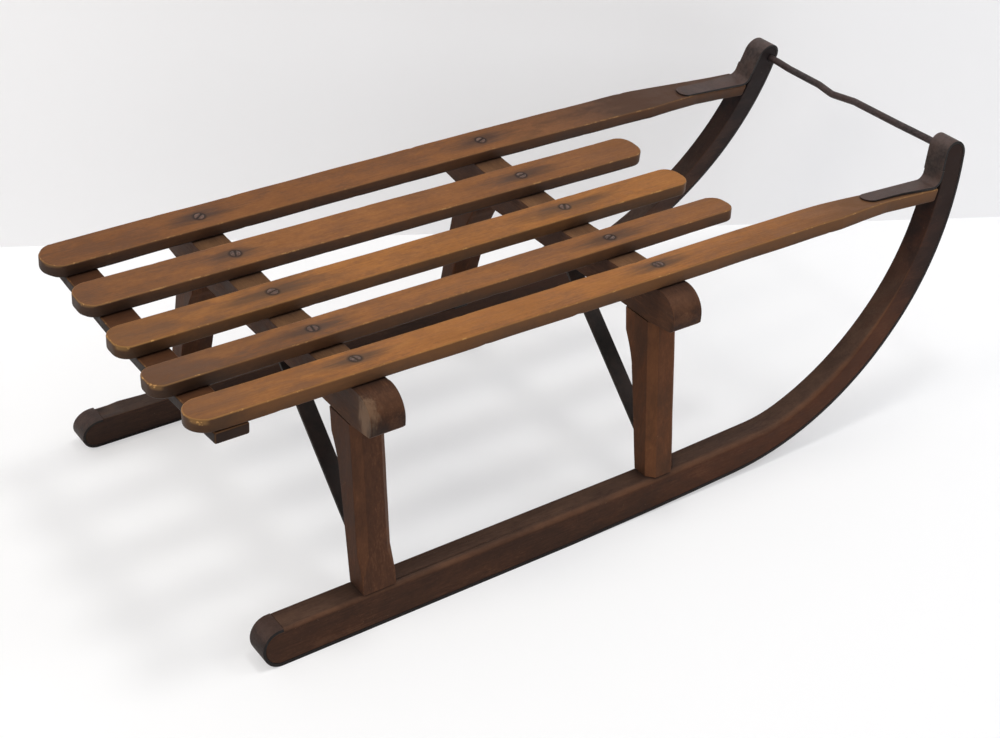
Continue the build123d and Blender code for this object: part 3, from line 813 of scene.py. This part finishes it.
runnerShape = {
    "cuts": [(0, 0.012, 0.045, 0.8)],
    "join": mergeGap,
    "wear": 0.0,
    "notch": 0.0,
    "arris": 0.007,
    "segments": 5,
    "clamp": False,
    "others": 0.15,
}
beamShape = {
    "cuts": [(1, 0.006, 0.03, 0.03)],
    "join": 0.0009,
    "wear": 0.001,
    "notch": 1.0,
    "arris": 0.0022,
    "segments": 3,
    "clamp": True,
    "others": 1.0,
}
postShape = {
    "cuts": [(2, 0.008, 0.03, 0.03)],
    "join": 0.0009,
    "wear": 0.0005,
    "notch": 0.0,
    "arris": 0.0015,
    "segments": 2,
    "clamp": True,
    "others": 1.0,
}
frameKinds = {
    "runner": (runnerTone, runnerShape),
    "beam": (beamTone, beamShape),
    "post": (postTone, postShape),
}
torn = [((-0.3095, -0.190, 0.229), 0.021)]     # the rear beam's near end, and how far it is torn
plainPiece = {"red": 0.0, "chips": [], "mainSide": 0}
frameSetup = {
    "runner_left": {
        **plainPiece, "seed": 1.3, "turn": grainAlong, "tint": (0.76, 0.94, 1.28), "red": 0.2,
        "mainSide": 1,
    },
    "runner_right": {
        **plainPiece, "seed": 2.1, "turn": grainAlong, "tint": (0.9, 0.98, 1.18), "red": 0.45,
        "mainSide": -1,
    },
    "beam_rear": {
        **plainPiece, "seed": 3.4, "turn": grainAcross, "tint": (0.86, 0.93, 1.08), "chips": torn,
    },
    "beam_front": {
        **plainPiece, "seed": 4.4, "turn": grainAcross, "tint": (1.08, 1.16, 1.34),
    },
    "post_rear_left": {
        **plainPiece, "seed": 5.1, "turn": grainUpright, "tint": (1.03, 1.0, 1.0),
    },
    "post_rear_right": {
        **plainPiece, "seed": 6.1, "turn": grainUpright, "tint": (1.08, 1.12, 1.28),
    },
    "post_front_left": {
        **plainPiece, "seed": 7.1, "turn": grainUpright, "tint": (1.03, 1.0, 1.0), "red": 0.3,
    },
    "post_front_right": {
        **plainPiece, "seed": 8.1, "turn": grainUpright, "tint": (1.58, 1.55, 1.52), "red": 0.5,
    },
}
for name, setup in frameSetup.items():
    tone, kind = frameKinds[name.split("_")[0]]
    wood = frameMaterial(name + "_wood", {**setup, **tone})
    dressNode(name, wood, {**kind, **setup})
print("frame dressed")

shoeShape = {
    "cuts": [],
    "join": mergeGap,
    "wear": 0.0,
    "notch": 0.0,
    "arris": 0.0007,
    "segments": 2,
    "clamp": True,
    "mainSide": 0,
    "others": 1.0,
}
rodShape = {**shoeShape, "arris": 0.0}
# faces that look up get dust with a painted sheen; faces that look sideways get painted shade
steelSetup = {
    "shoe_left": {
        "patina": 0.3, "dustAndSheen": 0.25, "sideShade": 1.0, "seed": 0.1,
        "rearTone": (0.7, 0.54, 0.5), "foreTone": (1.05, 0.98, 1.0),
    },
    "shoe_right": {
        "patina": 0.3, "dustAndSheen": 0.35, "sideShade": 1.0, "seed": 0.5,
        "rearTone": (0.6, 0.44, 0.38), "foreTone": (0.9, 0.82, 0.82),
    },
    "brace_rear": {
        "patina": 0.03, "dustAndSheen": 0.0, "sideShade": 0.5, "seed": 0.9,
        "rearTone": (0.4, 0.34, 0.34), "foreTone": (0.5, 0.5, 0.5),
    },
    "brace_front": {
        "patina": 0.03, "dustAndSheen": 0.0, "sideShade": 0.5, "seed": 1.4,
        "rearTone": (0.5, 0.48, 0.48), "foreTone": (0.5, 0.5, 0.5),
    },
    "pull_bar": {
        "patina": 0.5, "dustAndSheen": 0.1, "sideShade": 0.0, "seed": 1.9,
        "rearTone": (0.7, 0.7, 0.8), "foreTone": (0.7, 0.7, 0.8),
    },
}
for name, setup in steelSetup.items():
    shape = rodShape if name == "pull_bar" else shoeShape
    dressNode(name, steelMaterial(name + "_iron", setup), shape)
print("steel dressed")


# screws
screwLooks = {
    "radius": 0.0052,
    "crown": 0.0007,       # how far the head's middle stands above the wood
    "slotWide": 0.0016,
    "slotDeep": 0.0011,
    "rimDeep": 0.0016,     # how far the rim goes into the wood
    "sunk": 0.0002,
    "rings": 14,
    "spokes": 40,
    "crowding": 0.8,       # below one the rings crowd towards the rim
    "iron": {
        "patina": 0.9, "dustAndSheen": 0.0, "sideShade": 0.0, "seed": 2.4,
        "rearTone": (1.4, 1.2, 1.1), "foreTone": (1.6, 1.6, 1.6),
    },
}


def screwHeads(rows, look):
    # height: the crown times one less the cube of the radius's share, less the depth of a straight
    # slot that fades out from its middle line; the last ring lies in the wood
    radii = np.linspace(0.0, 1.0, look["rings"]) ** look["crowding"] * look["radius"]
    angles = np.linspace(0.0, 2 * pi, look["spokes"], endpoint=False)
    grid, around = np.meshgrid(radii, angles, indexing="ij")
    x, y = grid * np.cos(around), grid * np.sin(around)
    share = grid / look["radius"]
    z = look["crown"] * (1 - share ** 3)
    slot = np.clip((look["slotWide"] - np.abs(y)) / (0.5 * look["slotWide"]), 0.0, 1.0)
    z = z - look["slotDeep"] * slot
    z[-1] = -look["rimDeep"]
    flat = np.stack([x.ravel(), y.ravel(), z.ravel()], axis=1)
    rings, spokes = grid.shape
    ring = np.arange(rings - 1)[:, None] * spokes
    spoke = np.arange(spokes)[None, :]
    after = (spoke + 1) % spokes
    corners = [ring + spoke, ring + spokes + spoke, ring + spokes + after, ring + after]
    quads = np.stack(corners, axis=-1).reshape(-1, 4)
    points, faces = [], []
    for x0, y0, z0, tilt, turn in rows:
        spin = Matrix.Rotation(radians(tilt), 3, "X") @ Matrix.Rotation(radians(turn), 3, "Z")
        faces.append(quads + sum(len(p) for p in points))
        points.append(flat @ np.array(spin).T + np.array((x0, y0, z0)))
    return np.concatenate(points), np.concatenate(faces)


def addMesh(name, points, faces, material):
    mesh = bpy.data.meshes.new(name)
    mesh.from_pydata(points.tolist(), [], faces.tolist())
    shape = bmesh.new()
    shape.from_mesh(mesh)
    bmesh.ops.remove_doubles(shape, verts=shape.verts, dist=mergeGap)
    bmesh.ops.recalc_face_normals(shape, faces=shape.faces)
    shape.to_mesh(mesh)
    shape.free()
    mesh.polygons.foreach_set("use_smooth", np.ones(len(mesh.polygons), dtype=bool))
    mesh.materials.append(material)
    piece = bpy.data.objects.new(name, mesh)
    bpy.context.scene.collection.objects.link(piece)
    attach(piece, "root")


allScrews = [
    (x, y, slatTop(name, y) - screwLooks["sunk"], slatLean.get(name, 0.0), turn)
    for name, rows in screwRows.items()
    for x, y, turn in rows
]
screwPoints, screwFaces = screwHeads(allScrews, screwLooks)
screwIron = steelMaterial("screw_iron", screwLooks["iron"])
addMesh("slat_screws", screwPoints, screwFaces, screwIron)
print("screws set")


# floor, wall and light
stageLooks = {
    "floorColour": rgb(0.92, 0.935, 0.955),
    "wallColour": rgb(0.9, 0.9, 0.92),
    "cloud": rgb(0.82, 0.82, 0.84),
    "cloudShare": 0.06,
    "glow": rgb(1.0, 0.99, 1.0),
    "floorGlow": 0.42,
    "wallGlow": 0.25,
    "roughness": 0.9,
    "specular": 0.1,
    "wallLine": ((-0.33, 0.62), (0.847, 0.051)),   # where the wall meets the floor, behind the sled
    "wallTall": 1.2,
    "past": 6.0,           # how far both sheets run past the wall line's ends
    "deep": 14.0,          # and the floor before and behind it
}
lampSetup = {
    "overhead": {
        "place": (0.1, -0.1, 2.3), "target": (0.0, 0.0, 0.0), "size": (0.4, 0.4),
        "watts": 13.0, "colour": (1.0, 0.98, 0.94),
    },
    "fromLeft": {
        "place": (-1.6, 0.1, 1.7), "target": (0.0, 0.0, 0.0), "size": (0.4, 0.6),
        "watts": 11.5, "colour": (1.0, 0.92, 0.8),
    },
    "fromRight": {
        "place": (1.5, -0.9, 1.7), "target": (0.1, 0.0, 0.0), "size": (0.5, 0.6),
        "watts": 7.0, "colour": (1.0, 1.0, 1.0),
    },
}
skyLevel = 0.63


def stageSheet(name, points, colour, glow):
    # a pale sheet, open from behind, with a share of plain white for the camera, so that the
    # shadows stay soft
    look = stageLooks
    mesh = bpy.data.meshes.new(name)
    mesh.from_pydata(points, [], [(0, 1, 2, 3)])
    material, tree, shader, place = startMaterial(name + "_paint")
    soft = times(tree, noise(tree, place, 1.3, 2.0, 0.5), look["cloudShare"])
    feed(tree, shader.inputs["Base Color"], blend(tree, soft, colour, look["cloud"]))
    shader.inputs["Roughness"].default_value = look["roughness"]
    shader.inputs["Specular IOR Level"].default_value = look["specular"]
    plain = newNode(tree, "ShaderNodeEmission")
    plain.inputs["Color"].default_value = look["glow"]
    seen = newNode(tree, "ShaderNodeLightPath").outputs["Is Camera Ray"]
    mixed = newNode(tree, "ShaderNodeMixShader")
    feed(tree, mixed.inputs[0], times(tree, seen, glow))
    feed(tree, mixed.inputs[1], shader.outputs[0])
    feed(tree, mixed.inputs[2], plain.outputs[0])
    opened = newNode(tree, "ShaderNodeMixShader")
    feed(tree, opened.inputs[0], newNode(tree, "ShaderNodeNewGeometry").outputs["Backfacing"])
    feed(tree, opened.inputs[1], mixed.outputs[0])
    feed(tree, opened.inputs[2], newNode(tree, "ShaderNodeBsdfTransparent").outputs[0])
    feed(tree, tree.nodes["Material Output"].inputs["Surface"], opened.outputs[0])
    mesh.materials.append(material)
    sheet = bpy.data.objects.new(name, mesh)
    bpy.context.scene.collection.objects.link(sheet)


def buildStage(look):
    (x0, y0), (x1, y1) = look["wallLine"]
    along = Vector((x1 - x0, y1 - y0, 0.0)).normalized()
    back = Vector((-along.y, along.x, 0.0)) * look["deep"]
    left = Vector((x0, y0, 0.0)) - along * look["past"]
    right = Vector((x1, y1, 0.0)) + along * look["past"]
    floor = [left - back, right - back, right + back, left + back]
    stageSheet("floor", floor, look["floorColour"], look["floorGlow"])
    up = Vector((0.0, 0.0, look["wallTall"]))
    stageSheet("wall", [left, right, right + up, left + up], look["wallColour"], look["wallGlow"])


def addLamp(name, place, target, size, watts, colour):
    data = bpy.data.lights.new(name, "AREA")
    data.shape = "RECTANGLE"
    data.size, data.size_y = size
    data.energy = watts
    data.color = colour
    lamp = bpy.data.objects.new(name, data)
    bpy.context.scene.collection.objects.link(lamp)
    aim = (Vector(target) - Vector(place)).to_track_quat("-Z", "Y")
    lamp.matrix_world = Matrix.Translation(place) @ aim.to_matrix().to_4x4()


buildStage(stageLooks)
for name, setup in lampSetup.items():
    addLamp(name, **setup)
world = bpy.data.worlds.new("paleRoom")
world.use_nodes = True
sky = world.node_tree.nodes["Background"]
sky.inputs["Color"].default_value = rgb(1.0, 1.0, 1.0)
sky.inputs["Strength"].default_value = skyLevel
bpy.context.scene.world = world
bpy.context.scene.view_settings.view_transform = "Standard"
print("stage and lights set")
